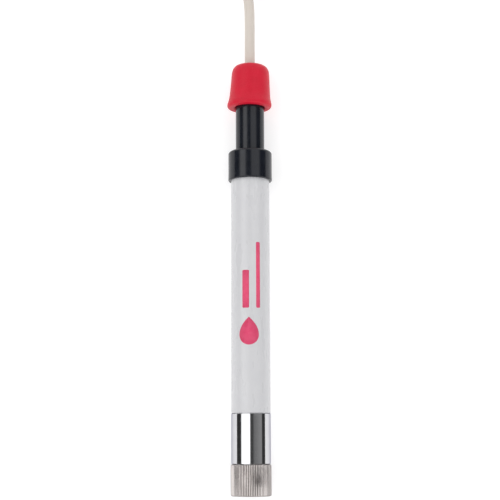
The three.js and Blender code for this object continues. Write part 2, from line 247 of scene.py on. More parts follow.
def spun(outline, steps=96):
    """Spins an outline of (radius, along, round) points about the axis. A point's third number
    rounds that corner. An outline that doesn't start on the axis is closed on itself."""
    bm = bmesh.new()
    corners = [bm.verts.new((point[0], point[1], 0)) for point in outline]
    edges = [bm.edges.new(pair) for pair in zip(corners, corners[1:])]
    if outline[0][0] > 0:
        edges.append(bm.edges.new((corners[-1], corners[0])))
    for corner, point in zip(corners, outline):
        if len(point) > 2:
            bmesh.ops.bevel(bm, geom=[corner], offset=point[2], segments=4, profile=0.5,
                            affect="VERTICES", material=-1)
    spin_round(bm, steps)
    return bm


def ring(inner, outer, low, high, soft=0.1):
    return [(inner, low, soft), (outer, low, soft), (outer, high, soft), (inner, high, soft)]


def wind_thread(bm, root, crest, start, turns, pitch=1.0):
    """Winds a right-hand screw ridge from root to crest, run out at both ends."""
    half = 0.42 * pitch
    tip = 0.07 * pitch
    section = [(root, -half), (crest, -tip), (crest, tip), (root, half)]
    corners = [bm.verts.new((radius, start + along, 0)) for radius, along in section]
    edges = [bm.edges.new((a, b)) for a, b in zip(corners, corners[1:] + corners[:1])]
    first = bm.faces.new(corners)
    steps = round(48 * turns)
    wound = bmesh.ops.spin(bm, geom=corners + edges, cent=(0, 0, 0), axis=(0, 1, 0),
                           dvec=(0, pitch * turns / steps, 0), angle=2 * math.pi * turns,
                           steps=steps, use_merge=False)
    last = [v for v in wound["geom_last"] if isinstance(v, bmesh.types.BMVert)]
    bmesh.ops.contextual_create(bm, geom=last)
    for end in (list(first.verts), last):
        for vert in end:
            radius = math.hypot(vert.co.x, vert.co.z)
            vert.co.x *= root / radius
            vert.co.z *= root / radius
    return bm


def press_knurl(bm, ridges, crest, depth, low, high):
    """Presses straight grooves into the outer wall between low and high. Each groove's depth
    differs a little from the next one's, as a knurling wheel leaves them."""
    for vert in bm.verts:
        radius = math.hypot(vert.co.x, vert.co.z)
        if radius > crest - depth and low <= vert.co.y <= high:
            turn = math.atan2(vert.co.z, vert.co.x)
            wave = (0.5 - 0.5 * math.cos(ridges * turn)) ** 3
            uneven = 1 - 0.12 * math.sin(7 * turn) * math.sin(19 * turn)
            groove = crest - depth * wave * uneven
            if groove < radius:
                vert.co.x *= groove / radius
                vert.co.z *= groove / radius
    return bm


def curve_through(name, points, radius, rings=5, steps=8):
    """A round cord or wire on one smooth line through the points, given in metres."""
    data = bpy.data.curves.new(name, "CURVE")
    data.dimensions = "3D"
    data.bevel_depth = 1
    data.bevel_resolution = rings
    data.resolution_u = steps
    data.use_fill_caps = True
    line = data.splines.new("BEZIER")
    line.bezier_points.add(len(points) - 1)
    for knot, point in zip(line.bezier_points, points):
        knot.co = point
        knot.radius = radius
        knot.handle_left_type = "AUTO"
        knot.handle_right_type = "AUTO"
    cord = bpy.data.objects.new(name, data)
    bpy.context.scene.collection.objects.link(cord)
    return cord


# ---- finishes ----


class Finish:
    """A procedural material. Its patterns are sized in millimetres on the piece itself."""

    def __init__(self, name, colour, roughness, **sockets):
        self.material = bpy.data.materials.new(name)
        self.material.use_nodes = True
        self.tree = self.material.node_tree
        self.surface = self.tree.nodes["Principled BSDF"]
        self.colour = colour
        self.surface.inputs["Base Color"].default_value = (*colour, 1)
        self.surface.inputs["Roughness"].default_value = roughness
        for socket, value in sockets.items():
            self.surface.inputs[socket.replace("_", " ").title()].default_value = value
        self.place = self.tree.nodes.new("ShaderNodeTexCoord").outputs["Object"]

    def node(self, kind, **settings):
        node = self.tree.nodes.new(kind)
        for name, value in settings.items():
            setattr(node, name, value)
        return node

    def link(self, start, end):
        self.tree.links.new(start, end)

    def grain(self, size, stretch=(1, 1, 1), detail=2.0, seed=0.0):
        """Random pattern with features about size millimetres across, drawn out by stretch."""
        mapping = self.node("ShaderNodeMapping")
        mapping.inputs["Scale"].default_value = [1 / (MM * size * s) for s in stretch]
        mapping.inputs["Location"].default_value = (seed, seed, seed)
        noise = self.node("ShaderNodeTexNoise")
        noise.inputs["Scale"].default_value = 1
        noise.inputs["Detail"].default_value = detail
        self.link(self.place, mapping.inputs["Vector"])
        self.link(mapping.outputs["Vector"], noise.inputs["Vector"])
        return noise.outputs["Factor" if "Factor" in noise.outputs else "Fac"]

    def ranged(self, pattern, low, high, start=0.3, end=0.7):
        spread = self.node("ShaderNodeMapRange")
        spread.inputs["From Min"].default_value = start
        spread.inputs["From Max"].default_value = end
        spread.inputs["To Min"].default_value = low
        spread.inputs["To Max"].default_value = high
        self.link(pattern, spread.inputs["Value"])
        return spread.outputs["Result"]

    def tint(self, pattern, other, amount=1.0, start=0.3, end=0.7):
        """Lets the colour wander towards another one where the pattern is high."""
        mix = self.node("ShaderNodeMix", data_type="RGBA")
        before = self.surface.inputs["Base Color"]
        if before.links:
            self.link(before.links[0].from_socket, mix.inputs["A"])
        else:
            mix.inputs["A"].default_value = (*self.colour, 1)
        mix.inputs["B"].default_value = (*other, 1)
        self.link(self.ranged(pattern, 0, amount, start, end), mix.inputs["Factor"])
        self.link(mix.outputs["Result"], before)
        return self

    def vary_gloss(self, pattern, low, high):
        self.link(self.ranged(pattern, low, high), self.surface.inputs["Roughness"])
        return self

    def relief(self, pattern, height):
        """Raises the surface where the pattern is high, by height millimetres."""
        bump = self.node("ShaderNodeBump")
        bump.inputs["Strength"].default_value = 1
        bump.inputs["Distance"].default_value = height * MM
        before = self.surface.inputs["Normal"]
        if before.links:
            self.link(before.links[0].from_socket, bump.inputs["Normal"])
        self.link(pattern, bump.inputs["Height"])
        self.link(bump.outputs["Normal"], before)
        return self

    def off_axis(self, place=ON_AXIS):
        """Distance from the axis in millimetres."""
        mapping = self.node("ShaderNodeMapping")
        mapping.inputs["Location"].default_value = -place.translation / MM
        mapping.inputs["Scale"].default_value = (1 / MM, 0, 1 / MM)
        mapping.inputs["Location"].default_value[1] = 0
        length = self.node("ShaderNodeVectorMath", operation="LENGTH")
        self.link(self.place, mapping.inputs["Vector"])
        self.link(mapping.outputs["Vector"], length.inputs[0])
        return length.outputs["Value"]


# How patterns are drawn out: round a turned piece, or along it.
AROUND = (12, 1, 12)
ALONG = (1, 20, 1)


def polished_steel():
    steel = Finish("polished_steel", (0.65, 0.65, 0.665), 0.09, metallic=1.0)
    steel.surface.inputs["Specular Tint"].default_value = (0.5, 0.5, 0.57, 1)
    steel.vary_gloss(steel.grain(0.5, AROUND, 4), 0.06, 0.13)
    steel.tint(steel.grain(6, detail=3, seed=4), (0.59, 0.59, 0.61), 0.6)
    steel.relief(steel.grain(0.5, AROUND, 3), 0.0006)
    return steel.material


def knurled_steel():
    """Bright turned steel whose colour is painted darker in the grooves of its knurl, as painted
    shade.
    """
    steel = Finish("knurled_steel", (0.66, 0.615, 0.6), 0.24, metallic=1.0)
    steel.surface.inputs["Specular Tint"].default_value = (0.34, 0.33, 0.34, 1)
    steel.vary_gloss(steel.grain(0.5, ALONG, 3), 0.18, 0.3)
    # Painted shade: the colour turns near black between the knurl's crest and its root, down in
    # the grooves.
    depth = steel.off_axis()
    below_crest = steel.ranged(depth, 0, 1, CAP.radius - 0.05, CAP.radius - 0.24)
    above_root = steel.ranged(depth, 0, 1, CAP.radius - 0.42, CAP.radius - 0.34)
    groove = steel.node("ShaderNodeMath", operation="MULTIPLY")
    steel.link(below_crest, groove.inputs[0])
    steel.link(above_root, groove.inputs[1])
    steel.tint(groove.outputs["Value"], (0.14, 0.12, 0.11), 1.0, 0, 1)
    steel.tint(steel.grain(0.8, ALONG, 3, seed=2), (0.56, 0.52, 0.505), 0.5)
    return steel.material


def light_grey_plastic():
    plastic = Finish("light_grey_plastic", (0.615, 0.615, 0.63), 0.28)
    plastic.tint(plastic.grain(9, detail=3), (0.585, 0.585, 0.605), 0.7)
    plastic.tint(plastic.grain(0.4, (1, 5, 1), 2, seed=3), (0.66, 0.66, 0.67), 0.3)
    plastic.vary_gloss(plastic.grain(3, (1, 4, 1), 3, seed=1), 0.25, 0.32)
    plastic.relief(plastic.grain(2.5, (1, 2, 1), 2), 0.0015)
    return plastic.material


def black_plastic():
    plastic = Finish("black_plastic", (0.0055, 0.007, 0.0115), 0.2)
    plastic.surface.inputs["Specular IOR Level"].default_value = 0.38
    plastic.tint(plastic.grain(4, detail=4), (0.009, 0.011, 0.017), 0.8)
    plastic.vary_gloss(plastic.grain(3, detail=3, seed=1), 0.17, 0.23)
    plastic.relief(plastic.grain(4, detail=2), 0.003)
    return plastic.material


def red_rubber():
    rubber = Finish("red_rubber", (0.62, 0.003, 0.026), 0.4)
    rubber.surface.inputs["Specular IOR Level"].default_value = 0.28
    rubber.tint(rubber.grain(5, detail=4), (0.54, 0.002, 0.02), 0.8)
    rubber.tint(rubber.grain(0.4, detail=2, seed=5), (0.68, 0.018, 0.05), 0.3)
    rubber.vary_gloss(rubber.grain(1.2, detail=4, seed=1), 0.38, 0.5)
    rubber.relief(rubber.grain(0.4, detail=3), 0.004)
    rubber.relief(rubber.grain(4, detail=2, seed=2), 0.04)
    return rubber.material


def black_rubber():
    rubber = Finish("black_rubber", (0.02, 0.02, 0.021), 0.6, sheen_weight=0.1)
    rubber.tint(rubber.grain(1.5, detail=4), (0.035, 0.034, 0.034), 0.8)
    rubber.vary_gloss(rubber.grain(0.5, detail=3, seed=1), 0.5, 0.7)
    rubber.relief(rubber.grain(0.15, detail=3), 0.012)
    return rubber.material


def cable_jacket():
    jacket = Finish("cable_jacket", (0.66, 0.6, 0.54), 0.42)
    jacket.tint(jacket.grain(7, detail=4), (0.61, 0.55, 0.49), 0.8)
    jacket.vary_gloss(jacket.grain(0.6, detail=4, seed=1), 0.36, 0.52)
    jacket.relief(jacket.grain(0.5, detail=3), 0.005)
    return jacket.material


def white_plastic():
    plastic = Finish("white_plastic", (0.8, 0.79, 0.75), 0.35)
    plastic.tint(plastic.grain(2, detail=4), (0.74, 0.73, 0.68), 0.7)
    plastic.vary_gloss(plastic.grain(0.4, AROUND, 3), 0.28, 0.44)
    plastic.relief(plastic.grain(0.2, AROUND, 2), 0.002)
    return plastic.material


def epoxy():
    resin = Finish("epoxy", (0.02, 0.023, 0.03), 0.22, coat_weight=0.4, coat_roughness=0.08)
    resin.tint(resin.grain(1.2, detail=5), (0.045, 0.05, 0.06), 0.8)
    resin.relief(resin.grain(2, detail=3), 0.03)
    return resin.material


def silver():
    metal = Finish("silver", (0.88, 0.86, 0.82), 0.2, metallic=1.0)
    metal.tint(metal.grain(0.7, detail=4), (0.72, 0.68, 0.6), 0.6)
    metal.vary_gloss(metal.grain(0.15, detail=3), 0.14, 0.32)
    return metal.material


def zinc():
    metal = Finish("zinc", (0.42, 0.43, 0.45), 0.5, metallic=1.0)
    metal.tint(metal.grain(0.9, detail=6), (0.6, 0.61, 0.62), 0.9)
    metal.vary_gloss(metal.grain(0.4, detail=4, seed=2), 0.4, 0.65)
    metal.relief(metal.grain(0.3, detail=4), 0.015)
    return metal.material


def brass():
    metal = Finish("brass", (0.78, 0.56, 0.25), 0.26, metallic=1.0)
    metal.tint(metal.grain(1.5, detail=4), (0.6, 0.4, 0.17), 0.7)
    metal.vary_gloss(metal.grain(0.6, (3, 1, 3), 3), 0.2, 0.32)
    metal.relief(metal.grain(1.5, detail=2), 0.001)
    return metal.material


def board():
    mask = Finish("board", (0.01, 0.13, 0.05), 0.3, coat_weight=0.3)
    mask.tint(mask.grain(0.9, (1, 4, 1), 1), (0.02, 0.2, 0.08), 0.8, 0.48, 0.52)
    mask.relief(mask.grain(0.25, detail=2), 0.008)
    return mask.material


def resistor():
    lacquer = Finish("resistor", (0.55, 0.4, 0.22), 0.3, coat_weight=0.3)
    lacquer.tint(lacquer.grain(0.4, detail=3), (0.48, 0.34, 0.18), 0.6)
    lacquer.relief(lacquer.grain(0.3, detail=3), 0.01)
    return lacquer.material


def wire(name, colour, worn):
    sleeve = Finish(name, colour, 0.4)
    sleeve.tint(sleeve.grain(0.8, (1, 6, 1), 3), worn, 0.7)
    sleeve.relief(sleeve.grain(0.2, detail=2), 0.004)
    return sleeve.material


FINISHES = {
    "knurled_steel": knurled_steel(),
    "polished_steel": polished_steel(),
    "light_grey_plastic": light_grey_plastic(),
    "black_plastic": black_plastic(),
    "red_rubber": red_rubber(),
    "black_rubber": black_rubber(),
    "cable_jacket": cable_jacket(),
    "white_plastic": white_plastic(),
    "epoxy": epoxy(),
    "silver": silver(),
    "zinc": zinc(),
    "brass": brass(),
    "board": board(),
    "resistor": resistor(),
    "wire_white": wire("wire_white", (0.7, 0.68, 0.62), (0.62, 0.6, 0.54)),
    "wire_black": wire("wire_black", (0.015, 0.015, 0.016), (0.03, 0.03, 0.03)),
    "wire_red": wire("wire_red", (0.5, 0.015, 0.02), (0.4, 0.012, 0.016)),
    "wire_green": wire("wire_green", (0.03, 0.3, 0.08), (0.025, 0.24, 0.06)),
}


def fit(piece, *nodes):
    """A piece takes the place, body and finish of the CAD nodes that it stands for."""
    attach(piece, BODY_OF[nodes[0]])
    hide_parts(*nodes)
    piece.data.materials.append(FINISHES[SLOT_OF[nodes[0]]])
    return piece


# ---- the cable, its hank, tie and plug ----

LEAD_ROUTE = [
    (0, 62.2, 9.25),
    (0, 76, 9.25),
    (0, 90, 9.25),
    (0, 99, 9.25),
    (0, 108, 9.2),
    (-0.3, 117, 8.9),
    (-1.6, 125, 8.1),
    (-3.9, 134, 6.4),
    (-7, 143, 4.4),
    (-10.4, 152, 2.9),
    (-13.4, 160, 2.3),
    (-15.7, 168.5, 2.3),
    (-16.8, 176.5, 2.6),
    (-17.15, 183.4, 3),
]
TAIL_ROUTE = [
    (17.2, 192, 7.45),
    (16.6, 188, 7.44),
    (15.05, 184, 7.4),
    (13.25, 179.8, 7.35),
    (12.3, 176.2, 7.28),
    (12, 173.3, 7.25),
    (12, 169, 7.25),
]

# The hank's turns, as (column, layer, how many quarter marks the cable stays there).
HANK_SLOTS = [(1, 0, 4), (0, 0, 3), (0, 1, 3), (0, 2, 3), (1, 2, 3), (1, 1, 4)]
HANK_NEAR = 196.0
HANK_STRAIGHT = 42.0
HANK_FOLD = 6 * CABLE_RADIUS
HANK_WAIST = 2.0
HANK_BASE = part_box("cable_hank")[0].z / MM


def hank_route():
    """Centreline of the hank: up the left side, round the far fold, back down the right side and
    round the near fold, changing its column or layer smoothly on the way."""
    marks = [(column, layer) for column, layer, stay in HANK_SLOTS for _ in range(stay)]
    route = []
    for quarter, (start, end) in enumerate(zip(marks, marks[1:])):
        side = quarter % 4
        steps = 4 if side % 2 == 0 else 6
        for step in range(steps):
            share = step / steps
            ease = 0.5 - 0.5 * math.cos(math.pi * share)
            column = start[0] + (end[0] - start[0]) * ease
            layer = start[1] + (end[1] - start[1]) * ease
            radius = HANK_FOLD + 2 * CABLE_RADIUS * column
            height = HANK_BASE + CABLE_RADIUS * (1 + 2 * layer)
            turn = math.pi * share
            drawn_in = radius - HANK_WAIST * math.sin(turn) ** 2
            far = HANK_NEAR + HANK_STRAIGHT
            x, y = [
                (-drawn_in, HANK_NEAR + HANK_STRAIGHT * share),
                (-radius * math.cos(turn), far + radius * math.sin(turn)),
                (drawn_in, far - HANK_STRAIGHT * share),
                (radius * math.cos(turn), HANK_NEAR - radius * math.sin(turn)),
            ][side]
            route.append((x, y, height))
    column, layer = marks[-1]
    exit_height = HANK_BASE + CABLE_RADIUS * (1 + 2 * layer)
    route.append((HANK_FOLD + 2 * CABLE_RADIUS * column, HANK_NEAR, exit_height))
    return route


def make_cable():
    route = LEAD_ROUTE + hank_route() + TAIL_ROUTE
    cable = curve_through("cable_run", [Vector(p) * MM for p in route], CABLE_RADIUS * MM, 7, 6)
    return fit(cable, "cable", "cable_hank", "cable_tail")


def draw_out(bm, edges, offset):
    """Draws loose edges out into a sheet."""
    drawn = bmesh.ops.extrude_edge_only(bm, edges=edges)
    moved = [v for v in drawn["geom"] if isinstance(v, bmesh.types.BMVert)]
    bmesh.ops.translate(bm, verts=moved, vec=offset)


def make_tie():
    """A rubber strap round the hank's waist, with its loose end laid over itself on top."""
    low, high = (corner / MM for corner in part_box("hank_tie"))
    thick = 0.7
    bm = bmesh.new()
    corners = [(low.x, low.z), (high.x, low.z), (high.x, high.z), (low.x, high.z)]
    verts = [bm.verts.new((x, low.y, z)) for x, z in corners]
    for a, b in zip(verts, verts[1:] + verts[:1]):
        bm.edges.new((a, b))
    bmesh.ops.bevel(bm, geom=verts, offset=2.4, segments=8, profile=0.5,
                    affect="VERTICES", material=-1)
    draw_out(bm, bm.edges[:], (0, high.y - low.y, 0))
    end_low, end_high = -4.0, high.x - 2.6
    start = [bm.verts.new((x, low.y + 0.3, high.z + thick)) for x in (end_low, end_high)]
    draw_out(bm, [bm.edges.new(start)], (0, high.y - low.y - 0.6, 0))
    tongue = [v for v in bm.verts if v.co.z > high.z + 0.1 and v.co.x < 0]
    bmesh.ops.bevel(bm, geom=tongue, offset=3.4, segments=8, profile=0.5,
                    affect="VERTICES", material=-1)
    strap = finished("rubber_strap", bm, ON_TABLE)
    wall = strap.modifiers.new("thickness", "SOLIDIFY")
    wall.thickness = thick * MM
    wall.offset = -1
    edge = strap.modifiers.new("soft_edges", "BEVEL")
    edge.width = 0.15 * MM
    edge.segments = 3
    edge.limit_method = "ANGLE"
    return fit(strap, "hank_tie")


def make_plug():
    grip = span("plug_ring", PLUG_FRONT)
    crest = grip.radius
    length = span("plug_body", PLUG_FRONT).high
    ridges = 44
    ring_mesh = spun([
        (5.2, 0.25), (5.45, 0), (5.75, 0), (5.95, 0.25), (5.95, 1.2),
        (5.65, 1.5), (5.65, 6.2), (5.95, 6.5), (5.95, 7), (crest - 0.5, 7),
        (crest - 0.25, 7.15), (crest, 7.5), (crest, 18.9), (crest - 0.25, 19.25),
        (crest - 0.5, grip.high), (6.2, grip.high, 0.2), (6.2, 17), (5.2, 16.4),
        (5.2, 13), (4.5, 13), (4.5, 11), (5.2, 11),
    ], steps=ridges * 6)
    press_knurl(ring_mesh, ridges, crest, 0.28, 7, grip.high)
    wind_thread(ring_mesh, 5.55, 5.93, 2.1, 4.2, 0.85)
    pieces = [fit(finished("coupling_ring_knurled", ring_mesh, ON_PLUG), "plug_ring")]

    insert = spun([
        (0, 8.2), (2.9, 8.2), (3.1, 8.45), (3.6, 8.45), (3.8, 8.2), (4.9, 8.2, 0.25),
        (4.9, 10.7, 0.1), (4.2, 10.7), (4.2, 16), (0, 16),
    ])
    pieces.append(fit(even_shading(finished("pin_carrier", insert, ON_PLUG)), "plug_insert"))

    ribs = []
    for rib in range(4):
        start = 35.4 + 1.7 * rib
        ribs += [(3.75 - 0.08 * rib, start, 0.2), (3.75 - 0.08 * rib, start + 0.9, 0.2),
                 (3.15 - 0.05 * rib, start + 1.0, 0.1), (3.15 - 0.05 * rib, start + 1.6, 0.1)]
    body = spun([
        (0, 16.3), (4.9, 16.3), (4.9, 19.2), (5.6, 19.6, 0.3), (6, 20.6, 0.6), (6.05, 24),
        (5.75, 24.4, 0.2), (5.75, 25.2, 0.2), (6.05, 25.6), (6, 30.4, 1.5), (4.2, 34.8, 0.6),
        (3.2, 35.2, 0.1), *ribs, (3.35, length - 0.6, 0.2), (3.1, length, 0.3),
        (CABLE_RADIUS + 0.05, length), (CABLE_RADIUS + 0.05, length - 5), (0, length - 5),
    ])
    pieces.append(fit(even_shading(finished("plug_grip", body, ON_PLUG)), "plug_body"))

    for number in range(4):
        turn = math.pi / 4 + number * math.pi / 2
        place = ON_PLUG @ Matrix.Translation((2.3 * math.cos(turn), 0, 2.3 * math.sin(turn)))
        pin = spun([
            (0, 2.8), (0.28, 2.85), (0.5, 3.4), (0.5, 8.1), (0.85, 8.1), (0.75, 8.35),
            (0.5, 8.35), (0.5, 15.4), (0, 15.4),
        ], steps=24)
        pieces.append(fit(finished(f"contact_pin_{number + 1}", pin, place),
                          f"plug_pin_{number + 1}"))
    return pieces


cable_run = make_cable()
strap = make_tie()
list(make_plug())


# ---- the sensing end ----


KNURL_RIDGES = 72
KNURL_DEPTH = 0.3
SIDES_PER_RIDGE = 8


def make_cap():
    crest, top = CAP.radius, CAP.high
    rim = crest - 0.45
    window, bore = 4.3, 6.6
    bm = spun([
        (window, 1.5, 0.1), (window, 0.45, 0.1), (window + 0.45, 0), (rim, 0), (rim + 0.18, 0.1),
        (rim + 0.34, 0.24), (crest, 0.45), (crest, top - 0.45), (rim + 0.34, top - 0.24),
        (rim + 0.18, top - 0.1), (rim, top), (7.5, top, 0.08), (7.5, 11.1), (bore, 11.1),
        (bore, 1.5),
    ], steps=KNURL_RIDGES * SIDES_PER_RIDGE)
    press_knurl(bm, KNURL_RIDGES, crest, KNURL_DEPTH, 0, top)
    wind_thread(bm, bore + 0.06, bore - 0.24, 3.2, 7)
    return fit(finished("knurled_cap", bm), "membrane_cap")


def make_sleeve():
    radius = TUBE.radius
    shoulder = CAP.high + SEAM
    end = TUBE.low - SEAM
    bm = spun([
        (5, 4.6), (5.6, 4.6), (5.85, 4.9), (5.85, 10.8), (6.28, 11.1), (6.28, shoulder),
        (radius - 0.22, shoulder), (radius, shoulder + 0.22), (radius, end - 0.2),
        (radius - 0.2, end), (6.85, end), (6.85, 42, 0.3), (5.6, 42), (5.6, 17), (5, 17),
    ], steps=128)
    wind_thread(bm, 5.8, 6.28, 5.5, 4.9)
    return fit(even_shading(finished("polished_sleeve", bm)), "steel_sleeve")


# Plain turned pieces: outlines of (radius, along, round).
PLAIN_TURNED = {
    "membrane_carrier": ring(4.4, 6.2, 2.3, 4, 0.2),
    "electrode_core": [
        (0, 9.5), (1.9, 9.5), (1.9, 5.8), (2.6, 5.8, 0.15), (2.6, 16.7), (4.7, 16.7),
        (4.7, 17.3), (5.3, 17.3, 0.15), (5.3, 20, 0.1), (4.6, 20), (4.6, 21.6), (5.3, 21.6, 0.1),
        (5.3, 23, 0.15), (2.6, 23), (2.6, 30, 0.3), (0, 30),
    ],
    "cathode_holder": [
        (0, 3.2), (2.3, 3.2), (2.3, 2.3, 0.05), (3.5, 2.3, 0.3), (3.9, 2.8, 0.2), (3.9, 5.5, 0.2),
        (1.6, 5.5), (1.6, 9.2, 0.2), (0, 9.2),
    ],
    "cathode_disc": [(0, 2.35), (2, 2.35, 0.06), (2, 2.9, 0.06), (0, 2.9)],
    "anode_sleeve": ring(2.9, 4.4, 6.1, 16.4, 0.25),
    "core_nut": ring(2.9, 5.3, 23.3, 26, 0.25),
    "cable_ferrule": ring(CABLE_RADIUS + 0.1, 3.3, 152.6, 157.2, 0.2),
    "gland_washer": ring(CABLE_RADIUS + 0.1, 4.1, 157.8, 158.6, 0.12),
    "cable_seal": ring(CABLE_RADIUS + 0.02, 4.2, 158.8, 163.2, 0.5),
}
# O-rings: radius of the ring, radius of its cord, place along the axis.
O_RINGS = {"cap_o_ring": (6.72, 0.44, 11.85), "core_o_ring": (5, 0.38, 20.8),
           "neck_o_ring": (6.3, 0.5, 133.4)}


def make_plain_turned():
    for node, outline in PLAIN_TURNED.items():
        fit(even_shading(finished(f"fine_{node}", spun(outline))), node)
    for node, (radius, thickness, along) in O_RINGS.items():
        bm = bmesh.new()
        bmesh.ops.create_circle(bm, segments=20, radius=thickness)
        bmesh.ops.translate(bm, verts=bm.verts, vec=(radius, along, 0))
        spin_round(bm, 96)
        fit(finished(f"fine_{node}", bm), node)


def make_membrane():
    """A thin film, stretched a little over the cathode."""
    bm = spun([(0, 1.76), (2.2, 1.77), (4.4, 1.8), (5.8, 1.8), (5.8, 2.0), (4.4, 1.98),
               (2.2, 1.94), (0, 1.93)])
    film = fit(finished("membrane_film", bm), "membrane")
    film.data.materials.clear()
    look = Finish("membrane_film", (0.86, 0.88, 0.9), 0.28, transmission_weight=0.55)
    look.surface.inputs["IOR"].default_value = 1.35
    look.vary_gloss(look.grain(1.5, detail=3), 0.16, 0.24)
    look.relief(look.grain(2.5, detail=1), 0.006)
    film.data.materials.append(look.material)


# ---- the tube, collar, neck, gland and boot ----


def make_tube():
    bm = spun([
        (6.9, TUBE.low, 0.1), (TUBE.radius, TUBE.low, 0.14), (TUBE.radius, TUBE.high, 0.2),
        (6.9, TUBE.high, 0.2),
    ], steps=128)
    return fit(even_shading(finished("grey_tube", bm)), "body_tube")


def make_collar():
    low, high, radius = COLLAR.low, COLLAR.high, COLLAR.radius
    snug = TUBE.radius + 0.04
    bm = spun([
        (snug, low + 0.25), (snug + 0.25, low), (radius - 0.2, low),
        (radius + 0.07, low + 0.3, 0.25),
        (radius + 0.04, low + 1.2, 0.5), (radius, low + 2.4, 1.0),
        (radius, high, 1.0), (NECK_RADIUS + 0.3, high, 0.08),
        (NECK_RADIUS + 0.05, high - 0.3), (NECK_RADIUS + 0.05, high - 2.1), (snug, high - 2.1),
    ], steps=128)
    return fit(even_shading(finished("black_collar", bm)), "top_collar")


def make_neck():
    bm = spun([
        (3.6, 131, 0.2), (6.85, 131, 0.3), (6.85, 132.5), (5.8, 132.5), (5.8, 134.3),
        (6.85, 134.3), (6.85, 136.75), (8, 136.75, 0.15), (8, 139.2, 0.15), (NECK_RADIUS, 139.2),
        (NECK_RADIUS, NECK.high, 0.5), (4.45, NECK.high, 0.25), (4.45, 157.5), (3.6, 157.5, 0.2),
    ], steps=128)
    return fit(even_shading(finished("black_neck", bm)), "neck_tube")


def cut_flats(bm, count, across):
    """Cuts flats round a turned piece, as on a nut."""
    for number in range(count):
        turn = 2 * math.pi * number / count
        away = Vector((math.cos(turn), 0, math.sin(turn)))
        everything = bm.verts[:] + bm.edges[:] + bm.faces[:]
        cut = bmesh.ops.bisect_plane(bm, geom=everything, plane_co=away * across / 2,
                                     plane_no=away, clear_outer=True)
        rim = [e for e in cut["geom_cut"] if isinstance(e, bmesh.types.BMEdge)]
        bmesh.ops.edgenet_fill(bm, edges=rim)


def make_gland_nut():
    bore = CABLE_RADIUS + 0.1
    bm = spun([
        (bore, 163.4), (4.1, 163.4, 0.2), (4.1, 167.7), (5.1, 167.8), (5.6, 168.05),
        (5.6, 170.5), (5.1, 170.8), (3.0, 170.8), (bore, 170.4),
    ])
    cut_flats(bm, 6, 9.9)
    return fit(finished("gland_nut_hexagon", bm), "gland_nut")


def make_boot():
    """A soft moulded boot with a rolled lip. It has pulled a little to one side at the lip."""
    low, high, lip = BOOT.low, BOOT.high, BOOT.radius
    mouth = NECK_RADIUS + 0.1
    bm = spun([
        (mouth, low + 1.2), (mouth + 0.1, low + 0.5), (mouth + 0.45, low + 0.1), (lip - 1.1, low),
        (lip + 0.05, low + 0.5), (lip + 0.2, low + 1.6), (lip - 0.15, low + 2.9),
        (lip - 0.55, low + 4.4), (lip - 0.75, low + 7), (lip - 1.0, low + 10.5),
        (lip - 1.2, low + 14), (lip - 1.3, low + 16), (lip - 2.1, high - 1.5),
        (lip - 3.6, high - 0.65), (lip - 5.6, high - 0.4), (CABLE_RADIUS + 0.2, high - 0.3),
        (CABLE_RADIUS + 0.12, high - 0.9), (CABLE_RADIUS + 0.12, high - 5.2), (4.6, high - 6.6),
        (mouth, high - 8),
    ], steps=40)
    for vert in bm.verts:
        outside = min(1, max(0, math.hypot(vert.co.x, vert.co.z) - mouth))
        down = (high - vert.co.y) / (high - low)
        vert.co.x += (0.3 - 0.6 * down * down) * outside
        vert.co.z *= 1 + 0.012 * outside * math.sin(4 * vert.co.y / high * math.pi)
    boot = finished("red_boot", bm, crease=180)
    rounding = boot.modifiers.new("rounding", "SUBSURF")
    rounding.levels = 2
    rounding.render_levels = 2
    return fit(boot, "cable_boot")


# ---- wiring and circuit board ----

WIRE_AT = (middle("cathode_wire").z - AXIS_HEIGHT) / MM
PAIR_AT = middle("thermistor").x / MM
BOARD_LOW, BOARD_HIGH = span("circuit_board").low, span("circuit_board").high
BOARD_WIDTH = 11.0
BOARD_FACE = 0.6


def make_wires():
    jacket_end = span("conductor_1").high
    wires = {
        "cathode_wire": (0.35, [(-1, 30.4), (-1, 41), (-1.25, 50), (-0.8, 61), (-1, 72.9)]),
        "anode_wire": (0.35, [(1, 30.4), (1, 41), (0.85, 48), (1.3, 60), (1, 72.9)]),
        "thermistor_lead_1": (0.15, [(PAIR_AT - 0.35, y) for y in (31.6, 41, 72.9)]),
        "thermistor_lead_2": (0.15, [(PAIR_AT + 0.35, y) for y in (31.6, 41, 72.9)]),
    }
    for node, (radius, points) in wires.items():
        route = [ON_AXIS @ Vector((x, y, WIRE_AT)) for x, y in points]
        fit(curve_through(f"run_{node}", route, radius * MM, 3), node)
    for number in range(4):
        across = -3 + 2 * number
        x = -0.75 if number < 2 else 0.75
        z = -0.75 if number in (0, 3) else 0.75
        route = [
            (x, jacket_end - 0.05, z), (x, jacket_end - 5.7, z),
            ((x + across) / 2, 132, (z + WIRE_AT) / 2), (across, BOARD_HIGH + 3, WIRE_AT),
            (across, BOARD_HIGH - 2.9, WIRE_AT),
        ]
        node = f"conductor_{number + 1}"
        fit(curve_through(f"run_{node}", [ON_AXIS @ Vector(p) for p in route], 0.35 * MM, 3), node)


def add_box(bm, middle_at, size, soft=0.0):
    made = bmesh.ops.create_cube(bm, size=1)["verts"]
    bmesh.ops.scale(bm, verts=made, vec=size)
    bmesh.ops.translate(bm, verts=made, vec=middle_at)
    if soft:
        edges = {edge for vert in made for edge in vert.link_edges}
        bmesh.ops.bevel(bm, geom=list(edges), offset=soft, segments=2, profile=0.5,
                        affect="EDGES", material=-1)


def board_piece(name, bm, slot):
    """A part soldered on the board, with no CAD node of its own."""
    piece = finished(name, bm)
    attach(piece, BODY_OF["circuit_board"])
    piece.data.materials.append(FINISHES[slot])
    return piece


